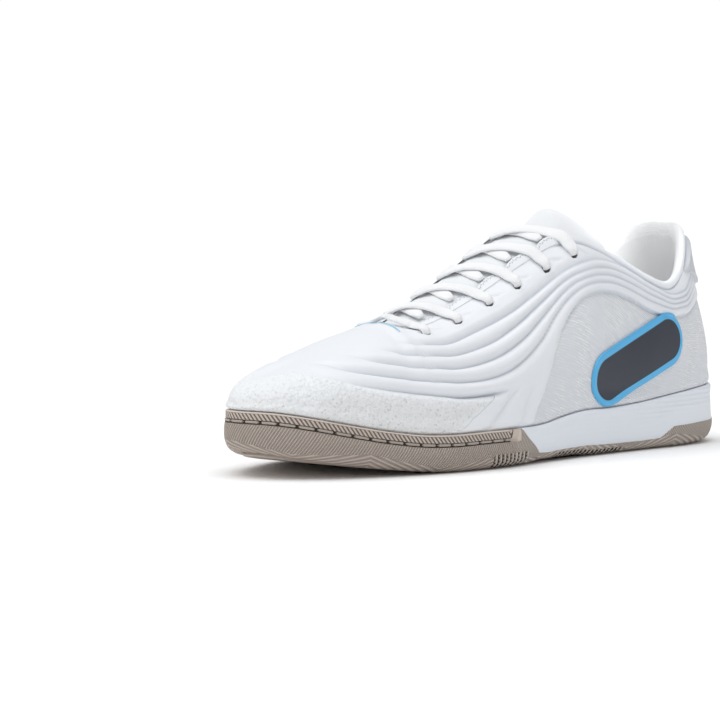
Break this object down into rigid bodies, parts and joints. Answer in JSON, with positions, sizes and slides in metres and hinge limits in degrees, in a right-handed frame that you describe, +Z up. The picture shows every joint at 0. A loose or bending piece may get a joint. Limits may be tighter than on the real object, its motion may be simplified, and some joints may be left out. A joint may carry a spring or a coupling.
{
  "type": "indoor football shoe",
  "caption": "Low indoor football shoe with a rolled white upper, padded collar, laced throat, foam midsole and flat taupe rubber sole.",
  "frame": {"origin": "on the floor, under the middle of the shoe's bounding box", "axes": "+X to the toe, +Y to the outer side of this left shoe, +Z up"},
  "size_m": [0.29, 0.0978, 0.1068],
  "materials": {
    "taupe_rubber": "matt, finely ribbed",
    "white_foam": "smooth skin with fine lines",
    "white_upper": "soft matt synthetic leather with rolls",
    "grey_knit": "fine knit",
    "tongue_textile": "padded fine textile",
    "white_lace": "flat braided cord",
    "navy_film": "thin smooth film with a light blue rim"
  },
  "bodies": {
    "root": {"outsole": "taupe_rubber", "midsole": "white_foam", "upper": "white_upper", "insole": "grey_knit", "tongue": "tongue_textile", "heel_tab": "white_upper", "side_panel": "navy_film", "lace_bar": "white_lace", "lace_crossing_1": "white_lace", "lace_crossing_2": "white_lace", "lace_crossing_3": "white_lace", "lace_crossing_4": "white_lace", "lace_crossing_5": "white_lace"}
  },
  "joints": []
}
